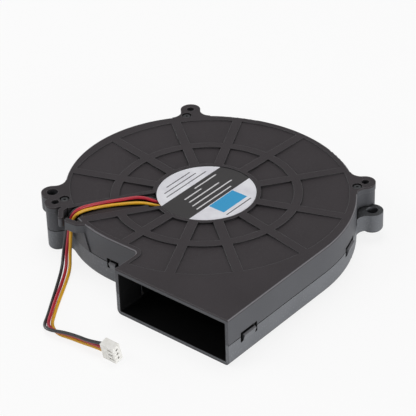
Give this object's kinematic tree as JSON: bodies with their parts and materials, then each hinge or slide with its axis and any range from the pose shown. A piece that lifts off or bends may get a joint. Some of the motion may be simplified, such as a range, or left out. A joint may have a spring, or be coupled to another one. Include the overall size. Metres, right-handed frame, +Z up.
{
  "type": "centrifugal cooling fan",
  "caption": "Thin radial cooling fan: moulded scroll housing with intake below and front outlet, forward-curved impeller on a ball-bearing motor, flying leads with a small connector.",
  "frame": {"origin": "rotor axis in the plane of the intake face, on which the fan lies", "axes": "+Z up along the rotor axis towards the label side, outlet faces -Y, straight duct wall on the +X side"},
  "size_m": [0.1213, 0.1447, 0.0218],
  "materials": {
    "housing_plastic": "black glass-filled PBT, spark-eroded matte",
    "label_film": "printed polyester film",
    "impeller_plastic": "black PBT",
    "yoke_steel": "drawn zinc-plated steel",
    "bonded_ferrite": "bonded ferrite",
    "brass": "turned",
    "shaft_steel": "ground",
    "spring_steel": "tempered",
    "bearing_steel": "ground and polished",
    "cage_steel": "pressed",
    "lamination_steel": "stacked laminations",
    "insulator_nylon": "natural nylon",
    "enamelled_copper": "enamelled winding wire",
    "board_laminate": "solder mask on glass-epoxy laminate",
    "package_epoxy": "moulded epoxy",
    "capacitor_ceramic": "fired ceramic",
    "resistor_glaze": "glazed",
    "connector_nylon": "natural nylon",
    "terminal_tin": "tin-plated",
    "lead_black": "PVC",
    "lead_red": "PVC",
    "lead_yellow": "PVC"
  },
  "bodies": {
    "housing": {"bottom_housing": "housing_plastic", "top_cover": "housing_plastic", "rating_label": "label_film", "bearing_tube": "brass", "stator_core": "lamination_steel", "upper_insulator": "insulator_nylon", "lower_insulator": "insulator_nylon", "stator_windings": "enamelled_copper", "circuit_board": "board_laminate", "driver_chip": "package_epoxy", "board_diode": "package_epoxy", "board_capacitors": "capacitor_ceramic", "board_resistors": "resistor_glaze", "hall_sensor": "package_epoxy", "lower_bearing_outer_ring": "bearing_steel", "upper_bearing_outer_ring": "bearing_steel", "wire_black": "lead_black", "wire_red": "lead_red", "wire_yellow": "lead_yellow", "connector_housing": "connector_nylon", "connector_terminals": "terminal_tin"},
    "rotor": {"impeller": "impeller_plastic", "rotor_yoke": "yoke_steel", "magnet_ring": "bonded_ferrite", "rotor_bush": "brass", "motor_shaft": "shaft_steel", "retaining_clip": "spring_steel", "preload_spring": "spring_steel", "lower_bearing_inner_ring": "bearing_steel", "upper_bearing_inner_ring": "bearing_steel"},
    "lower_ball_set": {"lower_bearing_balls": "bearing_steel", "lower_bearing_cage": "cage_steel"},
    "upper_ball_set": {"upper_bearing_balls": "bearing_steel", "upper_bearing_cage": "cage_steel"}
  },
  "joints": [
    {"name": "rotor_spin", "type": "hinge", "parent": "housing", "child": "rotor", "pos_m": [0, 0, 0.01], "axis": [0, 0, 1], "continuous": true},
    {"name": "lower_balls_orbit", "type": "hinge", "parent": "housing", "child": "lower_ball_set", "pos_m": [0, 0, 0.01], "axis": [0, 0, 1], "continuous": true},
    {"name": "upper_balls_orbit", "type": "hinge", "parent": "housing", "child": "upper_ball_set", "pos_m": [0, 0, 0.01], "axis": [0, 0, 1], "continuous": true}
  ],
  "couplings": [
    {"joint": "lower_balls_orbit", "follows": "rotor_spin", "ratio": 0.39815},
    {"joint": "upper_balls_orbit", "follows": "rotor_spin", "ratio": 0.39815}
  ]
}
